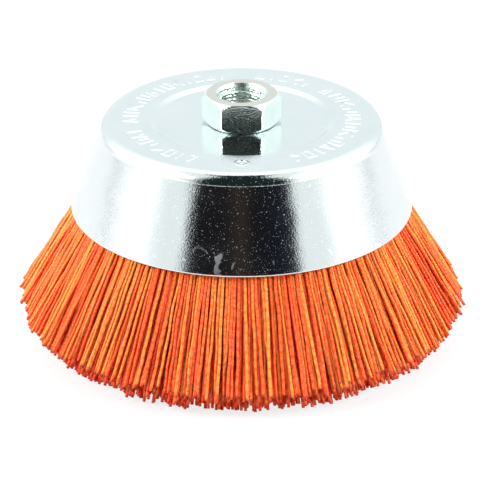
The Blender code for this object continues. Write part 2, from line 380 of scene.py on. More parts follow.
@dataclass(frozen=True)
class ZincPlate:
    """Bright zinc electroplate on mild steel.

    The plate is a thin mirror with a fine crystalline grain, so reflections
    keep their shapes but their edges break up into specks.  Handling leaves a
    few dull marks.
    """

    grade: ZincGrade
    grain: float = 0.62 * MM  # real plating grain is finer, this shows at arm's length
    ripple: float = 11.0 * MM  # flatness left by the press
    ripple_height: float = 0.12 * MM
    draw_line: float = 0.35 * MM  # pitch of fine marks round the axis
    draw_line_height: float = 0.004 * MM
    draw_turn: float = 0.0009  # noise metres to a radian, so that the marks run round
    smudge: float = 14.0 * MM
    speck: float = 0.34 * MM
    rub: float = 6.5 * MM  # dull marks left by handling, near the rim
    rub_low: float = 50.0 * MM  # they fade between these heights
    rub_top: float = 54.0 * MM

    def tints(self) -> tuple[str, str]:
        """Looks up the plate's tints.

        Returns:
            The lighter and the darker one.
        """
        spans = {
            ZincGrade.PRESSED: ("#E4E9EA", "#D8DFE1"),
            ZincGrade.MACHINED: ("#EEF8F4", "#D4E4DE"),
            ZincGrade.FACED: ("#DAD8D2", "#C6C4BE"),
            ZincGrade.INNER: ("#DCDFE0", "#C6CBCD"),
        }
        return spans[self.grade]

    def roughness(self) -> tuple[float, float]:
        """Looks up the plate's roughness.

        Returns:
            Where it is clean and where it is smudged.
        """
        spans = {
            ZincGrade.PRESSED: (0.05, 0.13),
            ZincGrade.MACHINED: (0.07, 0.17),
            ZincGrade.FACED: (0.34, 0.46),
            ZincGrade.INNER: (0.24, 0.40),
        }
        return spans[self.grade]

    def grain_height(self) -> float:
        """How far the plating's grain stands up."""
        return (0.12 if self.grade is ZincGrade.MACHINED else 0.036) * MM

    def unevenness(self) -> Rows:
        """Lays out the smudges, grain, ripple, specks and rubbed marks, and how dull they are.

        Returns:
            Their rows.
        """
        low_down = {"Value": "axes:Z", "From Min": self.rub_low, "From Max": self.rub_top}
        patterns = {
            "smudges": {"Scale": 1 / self.smudge, "Detail": 5.0, "Roughness": 0.62},
            "grain": {"Scale": 1 / self.grain, "Detail": 2.0, "Roughness": 0.7},
            "ripple": {"Scale": 1 / self.ripple, "Detail": 1.0},
            "specks": {"Scale": 1 / self.speck, "Detail": 1.0},
            "rubs": {"Scale": 1 / self.rub, "Detail": 4.0, "Distortion": 1.5},
        }
        clean, dull = self.roughness()
        smudged = {"Value": "smudges", "From Min": 0.35, "From Max": 0.7, "To Min": clean, "To Max": dull}
        return {
            "place": (COORDS, {}),
            "axes": (AXES, {0: "place:Object"}),
            **{name: (NOISE, {"Vector": "place:Object", **sizes}) for name, sizes in patterns.items()},
            "dull specks": (SPAN, {"Value": "specks", "From Min": 0.705, "From Max": 0.755, "To Max": 0.5}),
            "dull rubs": (SPAN, {"Value": "rubs", "From Min": 0.6, "From Max": 0.66, "To Max": 0.2}),
            "low down": (SPAN, {**low_down, **FALLING}),
            "rim rubs": ("MULTIPLY", "dull rubs", "low down"),
            "handled": ("MAXIMUM", "dull specks", "rim rubs"),
            "rough": (SPAN, smudged),
            "duller": ("ADD", "rough", "handled"),
        }

    def drawn_lines(self) -> Rows:
        """Lays out the fine marks round the axis.

        Returns:
            Their rows.
        """
        return {
            "x squared": ("POWER", "axes:X", 2.0),
            "y squared": ("POWER", "axes:Y", 2.0),
            "radius squared": ("ADD", "x squared", "y squared"),
            "radius": ("POWER", "radius squared", 0.5),
            "angle": ("ARCTAN2", "axes:Y", "axes:X"),
            "slow turn": ("MULTIPLY", "angle", self.draw_turn),
            "wound": (VECTOR, {"X": "slow turn", "Y": "radius", "Z": "axes:Z"}),
            "lines": (
                NOISE, {"Vector": "wound", "Scale": 1 / self.draw_line, "Detail": 3.0, "Roughness": 0.75}
            ),
        }

    def relief(self) -> Rows:
        """Lays the ripple, the fine marks and the grain over one another.

        Returns:
            Their rows.
        """
        lines = {"Height": "lines", "Strength": 0.35, "Distance": self.draw_line_height, "Normal": "waves"}
        grain = {"Height": "grain", "Strength": 1.0, "Distance": self.grain_height(), "Normal": "marks"}
        return {
            "waves": (BUMP, {"Height": "ripple", "Strength": 1.0, "Distance": self.ripple_height}),
            "marks": (BUMP, lines),
            "crystals": (BUMP, grain),
        }

    def material(self) -> bpy.types.Material:
        """Builds the material, named for its grade.

        Returns:
            The material.
        """
        light, shade = (linear(tint) for tint in self.tints())
        tint = {"tint": (MIX, {"Factor": "smudges", "A": light, "B": shade}, IN_COLOUR)}
        return make_material(
            f"zinc_plated_steel_{self.grade.value}",
            self.unevenness() | self.drawn_lines() | tint | self.relief(),
            {"Base Color": "tint", "Roughness": "duller", "Normal": "crystals", "Metallic": 1.0},
        )


@dataclass(frozen=True)
class DrawnWire:
    """Bare steel wire, drawn through a die, which leaves dull lengthwise streaks."""

    colour: str = "#8E9092"
    streak: float = 0.3 * MM
    streak_height: float = 0.02 * MM

    def material(self) -> bpy.types.Material:
        """Builds the material.

        Returns:
            The material.
        """
        rows = {
            "place": (COORDS, {}),
            "streaks": (NOISE, {"Vector": "place:Object", "Scale": 1 / self.streak, "Detail": 3.0}),
            "rough": (SPAN, {"Value": "streaks", "To Min": 0.28, "To Max": 0.5}),
            "bump": (BUMP, {"Height": "streaks", "Strength": 0.4, "Distance": self.streak_height}),
        }
        feeds = {"Roughness": "rough", "Normal": "bump", "Base Color": linear(self.colour), "Metallic": 1.0}
        return make_material("drawn_steel_wire", rows, feeds)


@dataclass(frozen=True)
class AbrasiveNylon:
    """Extruded nylon filament, filled with abrasive grit.

    The grit makes the skin satin and slightly rough, and crimping leaves short
    waves.  Each filament has its own tone, light soaks a little way into it,
    filaments deeper in a bundle are painted darker and redder as painted shade,
    and each filament is painted darker towards its tip as painted shade.
    """

    # The colours run from deep, the painted shade of filaments inside a bundle, to bright, the lit colour of
    # outer ones; a filament's own random tone moves it over up to half this range.
    bright: str = "#F2A046"
    middle: str = "#F4642A"
    deep: str = "#F4401E"
    # Colour of the painted shade at the filament tips.
    shaded_tip: str = "#962414"
    grit: float = 0.28 * MM
    roughness: float = 0.40
    grit_height: float = 0.06 * MM
    crimp_waves: float = 15.0  # over a filament's free length
    crimp_height: float = 0.32 * MM
    soak: float = 1.4 * MM

    def material(self) -> bpy.types.Material:
        """Builds the material.

        Returns:
            The material.
        """
        body = {0.0: linear(self.deep), 0.58: linear(self.middle), 1.0: linear(self.bright)}
        mottle = {"Value": "grit", "From Min": 0.3, "From Max": 0.7, "To Min": 0.86, "To Max": 1.06}
        # Painted shade: the colour darkens over the last fortieth of each free filament, towards its tip.
        worn = {"Value": "along:Fac", "From Min": 0.975, "From Max": 1.0, "To Max": 0.85}
        grit = {"Height": "grit", "Strength": 0.8, "Distance": self.grit_height, "Normal": "crimped"}
        rows = {
            "place": (COORDS, {}),
            # The stored tone mixes each filament's random tone with painted shade by depth in its bundle.
            "tone": ("ShaderNodeAttribute", {}, {"attribute_name": TONE_AND_SHADE}),
            "along": ("ShaderNodeAttribute", {}, {"attribute_name": ALONG}),
            "body": (RAMP, {"Fac": "tone:Fac"}, {"stops": body}),
            "grit": (
                NOISE, {"Vector": "place:Object", "Scale": 1 / self.grit, "Detail": 2.0, "Roughness": 0.6}
            ),
            "mottle": (SPAN, mottle),
            "speckled": (VECTOR_SUM, {0: "body:Color", "Scale": "mottle"}, {"operation": "SCALE"}),
            "worn": (SPAN, worn),
            "colour": (MIX, {"Factor": "worn", "A": "speckled", "B": linear(self.shaded_tip)}, IN_COLOUR),
            "turns": ("MULTIPLY", "along:Fac", FULL_TURN * self.crimp_waves),
            "own start": ("MULTIPLY_ADD", "tone:Fac", 90.0, "turns"),
            "wave": ("SINE", "own start"),
            "crimped": (BUMP, {"Height": "wave", "Strength": 1.0, "Distance": self.crimp_height}),
            "bump": (BUMP, grit),
        }
        feeds = {
            "Base Color": "colour",
            "Normal": "bump",
            "Roughness": self.roughness,
            "IOR": 1.53,
            "Specular IOR Level": 0.3,
            "Subsurface Weight": 0.62,
            "Subsurface Radius": (1.0, 0.28, 0.08),
            "Subsurface Scale": self.soak,
        }
        return make_material("abrasive_filled_nylon_filament", rows, feeds)


@dataclass(frozen=True)
class StudioFloor:
    """Opal acrylic table, lit from below, so that shadows on it stay faint."""

    colour: str = "#707070"
    glow: float = 0.79
    mottle: float = 40 * MM

    def material(self) -> bpy.types.Material:
        """Builds the material.

        Returns:
            The material.
        """
        rows = {
            "place": (COORDS, {}),
            "mottle": (NOISE, {"Vector": "place:Object", "Scale": 1 / self.mottle}),
            "rough": (SPAN, {"Value": "mottle", "To Min": 0.6, "To Max": 0.75}),
        }
        feeds = {
            "Roughness": "rough",
            "Base Color": linear(self.colour),
            "Emission Color": even(1.0),
            "Emission Strength": self.glow,
        }
        return make_material("opal_acrylic_sheet", rows, feeds)


# ---------------------------------------------------------------- metal pieces


class Mark(Enum):
    """The shapes pressed into the cup's raised ring."""

    BAR = "bar"
    SHORT_BAR = "short_bar"
    CHEVRON = "chevron"
    TRIANGLE = "triangle"
    BOX = "box"


@dataclass
class PressedMarks:
    """A band of generic pressed marks round the cup's top: bars, boxes, triangles and chevrons."""

    band_r: float = 37.4 * MM
    tall: float = 4.6 * MM
    wide: float = 2.6 * MM
    stroke: float = 0.22 * MM  # half width of a mark's flat top
    slope: float = 0.40 * MM  # width of its sloping edge
    height: float = 0.36 * MM
    pitch: float = 4.1 * MM
    eye_r: float = 1.9 * MM  # of the ring round the dot at the front
    pattern: tuple[Mark, ...] = (Mark.TRIANGLE, Mark.BAR, Mark.BOX, Mark.CHEVRON, Mark.SHORT_BAR, Mark.BOX)
    arcs: tuple[tuple[float, float], ...] = (  # degrees round from +X
        (-113.0, -165.0), (-173.0, -262.0), (-277.0, -310.0), (-318.0, -424.0),
    )

    def strokes(self) -> list[tuple[float, Point, Point]]:
        """Lists the straight strokes of all the marks.

        Returns:
            For each stroke its turn angle, and its ends across and outwards from the band's middle.
        """
        half, side = self.tall / 2, self.wide / 2
        outlines: dict[Mark, tuple[Point, ...]] = {
            Mark.BAR: ((0, -half), (0, half)),
            Mark.SHORT_BAR: ((0, -half), (0, 0)),
            Mark.CHEVRON: ((-side, -half), (side, 0), (-side, half)),
            Mark.TRIANGLE: ((-side, -half), (side, -half), (0, half), (-side, -half)),
            Mark.BOX: ((-side, -half), (side, -half), (side, half), (-side, half), (-side, -half)),
        }
        shapes = {mark: list(zip(corners, corners[1:])) for mark, corners in outlines.items()}
        found = []
        for start, end in self.arcs:
            length = math.radians(abs(end - start)) * self.band_r
            count = int(length / self.pitch)
            for i in range(count):
                a = math.radians(start + (end - start) * (i + 0.5) / count)
                found += [(a, *ends) for ends in shapes[self.pattern[i % len(self.pattern)]]]
        return found

    def lift(self, angles: np.ndarray, radii: np.ndarray) -> np.ndarray:
        """How far the marks raise the sheet.

        Args:
            angles: Turn angle of each place.
            radii: Radius of each place.

        Returns:
            The height at each place.
        """
        raised = np.zeros_like(radii)
        for turn, start, end in self.strokes():
            across = ((angles - turn + math.pi) % FULL_TURN - math.pi) * self.band_r
            near = np.abs(across) < self.tall
            place = np.stack([across[near] - start[0], radii[near] - self.band_r - start[1]])
            run = np.array([end[0] - start[0], end[1] - start[1]])
            share = np.clip((run @ place) / (run @ run), 0, 1)
            away = np.hypot(*(place - run[:, None] * share))
            raised[near] = np.maximum(raised[near], 1 - ramp(away, self.stroke, self.stroke + self.slope))
        across = ((angles + math.pi / 2 + math.pi) % FULL_TURN - math.pi) * self.band_r
        from_eye = np.hypot(across, radii - self.band_r)
        line = self.stroke / 2
        from_ring = np.abs(from_eye - self.eye_r)
        ring, dot = (1 - ramp(away, line, line + self.slope) for away in (from_ring, from_eye))
        return self.height * np.maximum.reduce([raised, ring, dot])


@dataclass
class PressedCup:
    """The cup: recessed centre, marked flat ring, rounded corner and flared wall."""

    top_z: float
    rim_z: float
    rim_r: float
    hole_r: float = 10.3 * MM
    sheet: float = 1.5 * MM
    recess_floor_r: float = 29.0 * MM
    recess_top_r: float = 31.0 * MM
    recess_depth: float = 1.0 * MM
    flat_r: float = 43.5 * MM
    corner_r: float = 4.5 * MM
    rim_round: float = 0.6  # of half the sheet
    bend_round: float = 0.9 * MM  # of the recess, seen from above
    lining_round: float = 0.6 * MM  # and from below
    hole_round: float = 0.25 * MM
    bead: float = 0.045 * MM  # a raised line where the corner ends
    bead_half: float = 0.24 * MM
    bead_steps: int = 16  # over four of its half widths
    turns: int = 720
    fine: float = 0.28 * MM  # step across the marks
    coarse: float = 6.0 * MM  # step where the sheet is plain

    @classmethod
    def from_frame(cls) -> "PressedCup":
        """Takes the cup's size from its CAD node.

        Returns:
            The cup.
        """
        low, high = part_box("outer_cup")
        lining_drop = 0.514 * MM  # the rim's lining edge is the cup's lowest place
        return cls(top_z=high[2], rim_z=low[2] + lining_drop, rim_r=high[0])

    def wall_lean(self) -> float:
        """The angle of the wall's normal above the horizontal."""
        reach = Vector((self.rim_r - self.flat_r, self.rim_z - self.top_z + self.corner_r))
        return math.acos(self.corner_r / reach.length) + math.atan2(reach.y, reach.x)

    def section(self) -> Section:
        """Draws the cup's outline.

        Returns:
            The outer skin first, then the rim's edge and the lining.
        """
        lean = self.wall_lean()
        inward = Vector((-math.cos(lean), -math.sin(lean)))
        floor_z = self.top_z - self.recess_depth
        under_top, under_floor = self.top_z - self.sheet, floor_z - self.sheet
        corner = Vector((self.flat_r, self.top_z - self.corner_r))
        tangent = Vector((math.sin(lean), -math.cos(lean)))
        rounding = self.corner_r * math.tan((math.pi / 2 - lean) / 2)
        knee = corner + Vector((0, self.corner_r)) + Vector((rounding, 0))
        rim = Vector((self.rim_r, self.rim_z))
        lining_rim = rim + inward * self.sheet
        up = (under_top - lining_rim.y) / -tangent.y
        inner_knee = lining_rim - tangent * up
        edge = self.rim_round * self.sheet / 2
        return rounded(
            [
                (self.hole_r, floor_z, self.hole_round),
                (self.recess_floor_r, floor_z, self.bend_round),
                (self.recess_top_r, self.top_z, self.bend_round),
                (knee.x, knee.y, self.corner_r),
                (rim.x, rim.y, edge),
                (lining_rim.x, lining_rim.y, edge),
                (inner_knee.x, inner_knee.y, self.corner_r - self.sheet),
                (self.recess_top_r, under_top, self.lining_round),
                (self.recess_floor_r, under_floor, self.lining_round),
                (self.hole_r, under_floor, self.hole_round),
            ]
        )

    def build(self, marks: PressedMarks, finish: bpy.types.Material) -> bpy.types.Object:
        """Builds and dresses the cup.

        Args:
            marks: The marks on its flat ring.
            finish: Its material.

        Returns:
            The piece.
        """
        reach = marks.tall / 2 + marks.stroke + marks.slope
        band = (marks.band_r - reach, marks.band_r + reach)
        middle = self.top_z - self.sheet / 2

        def pitch(r: float, z: float) -> float:
            """The longest run at a place: short on the marked band."""
            return self.fine if band[0] < r < band[1] and z > middle else self.coarse

        outline = densified(self.lined(self.split_at(self.section(), band)), pitch)
        r, z, angles = spun(outline, self.turns)
        on_band = (z > middle) & (r > band[0]) & (r < band[1])
        z[on_band] += marks.lift(angles[on_band], r[on_band])
        return revolved("pressed_cup", r, z, finish)

    def lined(self, section: Section) -> Section:
        """Adds the raised line to the top of the wall's outer skin.

        Args:
            section: The cup's outline.

        Returns:
            The outline with the raised line.
        """
        lean = self.wall_lean()
        normal = Vector((math.cos(lean), math.sin(lean)))
        down = Vector((math.sin(lean), -math.cos(lean)))
        start = Vector((self.flat_r, self.top_z - self.corner_r)) + normal * self.corner_r
        skin = []
        for i in range(1, self.bead_steps + 1):
            s = self.bead_half * i / (self.bead_steps / 4)
            raised = self.bead * math.exp(-((s / self.bead_half - 2) ** 2))
            place = start + down * s + normal * raised
            skin.append((place.x, place.y))
        same_place = 0.05 * MM
        last = max(i for i, spot in enumerate(section) if (Vector(spot) - start).length < same_place)
        return section[: last + 1] + skin + section[last + 1 :]

    def split_at(self, section: Section, radii: Sequence[float]) -> Section:
        """Adds outline points on the flat top.

        Args:
            section: The cup's outline.
            radii: Where the points go.

        Returns:
            The outline with the added points.
        """
        points: Section = []
        for (r0, z0), (r1, z1) in zip(section, section[1:] + section[:1]):
            points.append((r0, z0))
            if max(abs(z0 - self.top_z), abs(z1 - self.top_z)) < LEVEL:
                points += [(r, z0) for r in sorted(radii) if r0 < r < r1]
        return points


@dataclass
class ThreadedNut:
    """The hex arbor nut with its thread and its swaged spigot."""

    bottom_z: float  # of the swaged lip
    top_z: float
    head_z: float
    lip_top_z: float
    across_flats: float = 23.8 * MM
    face_r: float = 11.8 * MM
    chamfer: float = math.radians(38)
    spigot_r: float = 10.0 * MM
    lip_r: float = 12.6 * MM
    pitch: float = 25.4 / 11 * MM
    major_r: float = 7.94 * MM
    minor_r: float = 6.75 * MM
    mouth_r: float = 8.65 * MM
    end_r: float = 8.0 * MM
    crest: float = 0.25
    root: float = 0.125
    edge_power: float = 70.0  # how sharp the blend of flats and chamfers is
    hex_power: float = 160.0  # how sharp the corners are
    bore_rows: int = 124
    turns: int = 288

    @classmethod
    def from_frame(cls) -> "ThreadedNut":
        """Takes the nut's place from its CAD node and its neighbours.

        Returns:
            The nut.
        """
        low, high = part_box("arbor_nut")
        head_sunk, lip_gap = 0.84 * MM, 0.3 * MM
        return cls(
            bottom_z=low[2],
            top_z=high[2],
            head_z=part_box("outer_cup")[1][2] - head_sunk,
            lip_top_z=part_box("clamp_washer")[0][2] - lip_gap,
        )

    def outline(self) -> tuple[Section, int]:
        """Draws the nut's outline.

        Returns:
            The outline from the bore's mouth down the outside and up the bore again, and how many
            of its points are outside.
        """
        past_corner = 0.3 * MM
        outer = self.across_flats / math.sqrt(3) + past_corner
        drop = (outer - self.face_r) * math.tan(self.chamfer)
        corners = [
            (self.mouth_r, self.top_z, 0.12 * MM),
            (self.face_r, self.top_z, 0.25 * MM),
            (outer, self.top_z - drop, 0),
            (outer, self.head_z + drop, 0),
            (self.face_r, self.head_z, 0.25 * MM),
            (self.spigot_r, self.head_z, 0.1 * MM),
            (self.spigot_r, self.lip_top_z, 0.1 * MM),
            (self.lip_r, self.lip_top_z, 0.3 * MM),
            (self.lip_r, self.bottom_z, 0.7 * MM),
            (self.end_r, self.bottom_z, 0.15 * MM),
        ]
        fine, coarse = 0.25 * MM, MM
        outside = densified(rounded(corners), lambda r, z: fine if r > self.lip_r - MM else coarse)
        end_z, end_r = self.bottom_z + 0.3 * MM, self.end_r + 0.4 * MM  # past the bore's end
        last = max(i for i, (r, z) in enumerate(outside) if z < end_z and r < end_r)
        outside = outside[: last + 1]
        start, end = outside[-1][1], outside[0][1]
        shares = [i / self.bore_rows for i in range(1, self.bore_rows)]
        bore = [(self.minor_r, start + (end - start) * share) for share in shares]
        return outside + bore, len(outside)

    def hex_radius(self, angles: np.ndarray) -> np.ndarray:
        """Finds the radius of a hex with barely rounded corners, one flat facing -Y.

        Args:
            angles: Turn angle of each place.

        Returns:
            The radius at each place.
        """
        normals = np.radians(np.arange(6) * 60 + 30)
        facing = np.clip(np.cos(angles[..., None] - normals), 0, None)
        return self.across_flats / 2 * np.sum(facing**self.hex_power, axis=-1) ** (-1 / self.hex_power)

    def thread_radius(self, angles: np.ndarray, heights: np.ndarray) -> np.ndarray:
        """Finds the bore's radius: a right-hand thread, opened by a countersink at each end.

        Args:
            angles: Turn angle of each place.
            heights: Height of each place.

        Returns:
            The radius at each place.
        """
        phase = np.abs((heights / self.pitch - angles / FULL_TURN) % 1 - 0.5) * 2
        flank = np.clip((1 - self.root - phase) / (1 - self.root - self.crest), 0, 1)
        thread = self.major_r + (self.minor_r - self.major_r) * (1 - flank)
        mouth = self.mouth_r - (self.top_z - heights)
        end = self.end_r - (heights - self.bottom_z)
        return np.maximum.reduce([thread, mouth, end])

    def build(self, finish: bpy.types.Material, faced: bpy.types.Material) -> bpy.types.Object:
        """Builds and dresses the nut.

        Args:
            finish: Its material.
            faced: The material of its turned top face.

        Returns:
            The piece.
        """
        section, outside = self.outline()
        r, z, angles = spun(section, self.turns)
        columns = np.arange(len(section))[None, :]
        off_spigot = self.spigot_r + 0.3 * MM
        head = (columns < outside) & (z > self.head_z - LEVEL) & (r > off_spigot)
        p = self.edge_power
        unit = self.across_flats / 2
        blend = ((r / unit) ** -p + (self.hex_radius(angles) / unit) ** -p) ** (-1 / p) * unit
        r = np.where(head, np.minimum(r, blend), r)
        bore = np.broadcast_to(columns >= outside, r.shape)
        r = np.where(bore, self.thread_radius(angles, z), r)
        piece = revolved("threaded_nut", r, z, finish, faced)
        face_low, face_inner = self.top_z - 0.06 * MM, self.mouth_r - 0.05 * MM
        for face in piece.data.polygons:
            face.material_index = int(face.center.z > face_low and face.center.xy.length > face_inner)
        return piece


@dataclass
class ClampStack:
    """The dished inner plate and the thick washer under it."""

    plate_top: float
    plate_edge_r: float
    plate_low: float
    washer_top: float
    washer_low: float
    washer_r: float
    hole_r: float = 10.3 * MM
    sheet: float = 1.5 * MM
    flat_r: float = 25.0 * MM
    bend_r: float = 27.9 * MM
    bend_drop: float = 1.6 * MM
    bend_round: float = 1.6 * MM
    under_round: float = 1.0 * MM
    edge_round: float = 0.5 * MM
    hole_round: float = 0.2 * MM
    under_reach: float = 1.02  # of the sheet, where the bend is tighter below
    washer_round: float = 0.35 * MM
    plate_pitch: float = 2.0 * MM
    plate_turns: int = 288
    washer_pitch: float = 1.0 * MM
    washer_turns: int = 192

    @classmethod
    def from_frame(cls) -> "ClampStack":
        """Takes the places of both pieces from their CAD nodes.

        Returns:
            The stack.
        """
        plate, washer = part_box("inner_plate"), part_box("clamp_washer")
        return cls(
            plate_top=plate[1][2],
            plate_edge_r=plate[1][0],
            plate_low=plate[0][2],
            washer_top=washer[1][2],
            washer_low=washer[0][2],
            washer_r=washer[1][0],
        )

    def plate(self, finish: bpy.types.Material) -> bpy.types.Object:
        """Builds and dresses the inner plate.

        Args:
            finish: Its material.

        Returns:
            The piece.
        """
        edge_lift, under_shift = 0.8 * MM, 0.5 * MM
        bend = Vector((self.bend_r, self.plate_top - self.bend_drop))
        low_run = Vector((self.plate_edge_r, self.plate_low + edge_lift)) - bend
        inward = Vector((low_run.y, -low_run.x)).normalized() * self.sheet
        edge = bend + low_run
        under = self.plate_top - self.sheet
        corners = [
            (self.hole_r, self.plate_top, self.hole_round),
            (self.flat_r, self.plate_top, self.bend_round),
            (bend.x, bend.y, self.bend_round),
            (edge.x, edge.y, self.edge_round),
            (edge.x + inward.x, edge.y + inward.y, self.edge_round),
            (bend.x + inward.x * self.under_reach, bend.y + inward.y, self.under_round),
            (self.flat_r - under_shift, under, self.under_round),
            (self.hole_r, under, self.hole_round),
        ]
        section = densified(rounded(corners), lambda r, z: self.plate_pitch)
        return turned("dished_inner_plate", section, self.plate_turns, finish)

    def washer(self, finish: bpy.types.Material) -> bpy.types.Object:
        """Builds and dresses the washer, with its broken edges.

        Args:
            finish: Its material.

        Returns:
            The piece.
        """
        radii = (self.hole_r, self.washer_r, self.washer_r, self.hole_r)
        heights = (self.washer_top, self.washer_top, self.washer_low, self.washer_low)
        corners = [(r, z, self.washer_round) for r, z in zip(radii, heights)]
        section = densified(rounded(corners), lambda r, z: self.washer_pitch)
        return turned("thick_clamp_washer", section, self.washer_turns, finish)


@dataclass
class AnchorWire:
    """The ring of wire that the filaments hang over."""

    ring_r: float
    ring_z: float
    wire_r: float = 2.0 * MM
    sides: int = 24
    turns: int = 288

    @classmethod
    def from_frame(cls) -> "AnchorWire":
        """Takes the ring's place from its CAD node."""
        low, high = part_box("anchor_ring")
        return cls(ring_r=high[0] - cls.wire_r, ring_z=(low[2] + high[2]) / 2)

    def build(self, finish: bpy.types.Material) -> bpy.types.Object:
        """Builds and dresses the ring.

        Args:
            finish: Its material.

        Returns:
            The piece.
        """
        ways = [FULL_TURN * i / self.sides for i in range(self.sides)]
        r, z, wire = self.ring_r, self.ring_z, self.wire_r
        section = [(r + wire * math.cos(a), z + wire * math.sin(a)) for a in ways]
        return turned("anchor_wire_ring", section, self.turns, finish)


# ---------------------------------------------------------------- bristles


@dataclass(frozen=True)
class StrandTree:
    """A Geometry Nodes tree that grows crimped filaments between three guide curves."""

    inputs: tuple[tuple[str, tuple[str, ...]], ...] = (  # kind, and names
        ("Object", ("Outer Guide", "Middle Guide", "Inner Guide")),
        ("Int", ("Slots", "Layers", "Folded Layers", "Steps", "Sides")),
        ("Float", ("Sector", "Heading", "Filament Radius")),
        ("Float", ("Crimp", "Crimps", "Stray", "Shortest", "End Shade")),
        ("Int", ("Seed",)),
        ("Material", ("Material",)),
    )
    clump_slots: float = 3.0  # neighbours that were cut to one length
    clump_numbers: float = 10.0  # set aside for each layer's clumps
    stream_numbers: float = 1000.0  # set aside for each random draw
    slot_shift: float = 0.25  # centres the staggered rows in their sector
    freeing: float = 6.0  # a filament crimps in full from this fraction of its length on: a sixth
    draws: tuple[Row, ...] = (  # name, what has its own, lowest and highest
        ("deep", "hairpin", 0.05, 0.95),
        ("sideways", "hairpin", -0.22, 0.22),
        ("shortness", "strand", 0.0, 1.0),
        ("phase", "strand", 0.0, 500.0),
        ("stray out", "strand", -0.9, 0.5),
        ("stray round", "strand", -0.6, 0.6),
        ("tone", "hairpin", 0.0, 1.0),
        ("clump shortness", "clump", 0.0, 1.0),
    )

    def numbering(self) -> Rows:
        """Gives each point its strand and step, and the strand its layer, slot, hairpin and clump.

        Returns:
            The rows.
        """
        return {
            "index": ("GeometryNodeInputIndex", {}),
            "points each": ("ADD", "Steps", 1.0),
            "point middle": ("ADD", "index", 0.5),
            "strands before": ("DIVIDE", "point middle", "points each"),
            "strand": ("FLOOR", "strands before"),
            "first point": ("MULTIPLY", "strand", "points each"),
            "step": ("SUBTRACT", "index", "first point"),
            "share": ("DIVIDE", "step", "Steps"),
            "strand middle": ("ADD", "strand", 0.5),
            "layers before": ("DIVIDE", "strand middle", "Slots"),
            "layer": ("FLOOR", "layers before"),
            "first strand": ("MULTIPLY", "layer", "Slots"),
            "slot": ("SUBTRACT", "strand", "first strand"),
            "both legs": ("MULTIPLY", "Folded Layers", 2.0),
            "last layer": ("SUBTRACT", "both legs", 1.0),
            "other leg": ("SUBTRACT", "last layer", "layer"),
            "folded": ("MINIMUM", "layer", "other leg"),
            "first hairpin": ("MULTIPLY", "folded", "Slots"),
            "hairpin": ("ADD", "first hairpin", "slot"),
            "slot middle": ("ADD", "slot", 0.5),
            "clumps before": ("DIVIDE", "slot middle", self.clump_slots),
            "clump in layer": ("FLOOR", "clumps before"),
            "clumps above": ("MULTIPLY", "layer", self.clump_numbers),
            "clump": ("ADD", "clumps above", "clump in layer"),
        }

    def chances(self) -> Rows:
        """Draws the random numbers, each from its own stream.

        Returns:
            The rows.
        """
        rows: Rows = {}
        for stream, (name, whose, low, high) in enumerate(self.draws, start=1):
            rows[f"{name} number"] = ("ADD", whose, self.stream_numbers * stream)
            feeds = {"Min": low, "Max": high, "ID": f"{name} number", "Seed": "Seed"}
            rows[name] = ("FunctionNodeRandomValue", feeds, {"data_type": "FLOAT"})
        return rows

    def spots(self) -> Rows:
        """Finds a point's depth and turn, and its place between the guides.

        Returns:
            The rows.
        """
        mixed = {"data_type": "VECTOR"}
        rows: Rows = {
            "fold place": ("ADD", "folded", "deep"),
            "fold depth": ("DIVIDE", "fold place", "Folded Layers"),
            "fold share": ("DIVIDE", "Folded Layers", "Layers"),
            "from outside": ("MULTIPLY", "fold depth", "fold share"),
            "from inside": ("SUBTRACT", 1.0, "from outside"),
            "last outer": ("SUBTRACT", "Folded Layers", 0.5),
            "is inner": ("GREATER_THAN", "layer", "last outer"),
            "depth": (MIX, {"Factor": "is inner", "A": "from outside", "B": "from inside"}),
            "odd row": ("MODULO", "folded", 2.0),
            "half slot": ("MULTIPLY", "odd row", 0.5),
            "bricked": ("ADD", "slot", "half slot"),
            "nudged": ("ADD", "bricked", "sideways"),
            "centred slot": ("ADD", "nudged", self.slot_shift),
            "sector share": ("DIVIDE", "centred slot", "Slots"),
            "off middle": ("SUBTRACT", "sector share", 0.5),
            "turn": ("MULTIPLY", "off middle", "Sector"),
            "angle": ("ADD", "turn", "Heading"),
            "most cut": ("SUBTRACT", 1.0, "Shortest"),
            "both shortnesses": ("ADD", "shortness", "clump shortness"),
            "half cut": ("MULTIPLY", "most cut", 0.5),
            "cut off": ("MULTIPLY", "half cut", "both shortnesses"),
            "length": ("SUBTRACT", 1.0, "cut off"),
            "along": ("MULTIPLY", "share", "length"),
        }
        for side in ("Outer", "Middle", "Inner"):
            guide = {"Object": f"{side} Guide"}
            sampled = {"Curves": f"{side} shape:Geometry", "Factor": "along"}
            by_share = {"mode": "FACTOR", "use_all_curves": False}
            rows[f"{side} shape"] = ("GeometryNodeObjectInfo", guide, {"transform_space": "ORIGINAL"})
            rows[f"{side} spot"] = ("GeometryNodeSampleCurve", sampled, by_share)
        outer, middle, inner = (f"{side} spot:Position" for side in ("Outer", "Middle", "Inner"))
        return rows | {
            "twice": ("MULTIPLY", "depth", 2.0),
            "past middle": ("SUBTRACT", "twice", 1.0),
            "is past": ("GREATER_THAN", "depth", 0.5),
            "near": (MIX, {"Factor": "twice", "A": outer, "B": middle}, mixed),
            "far": (MIX, {"Factor": "past middle", "A": middle, "B": inner}, mixed),
            "spot": (MIX, {"Factor": "is past", "A": "near", "B": "far"}, mixed),
        }

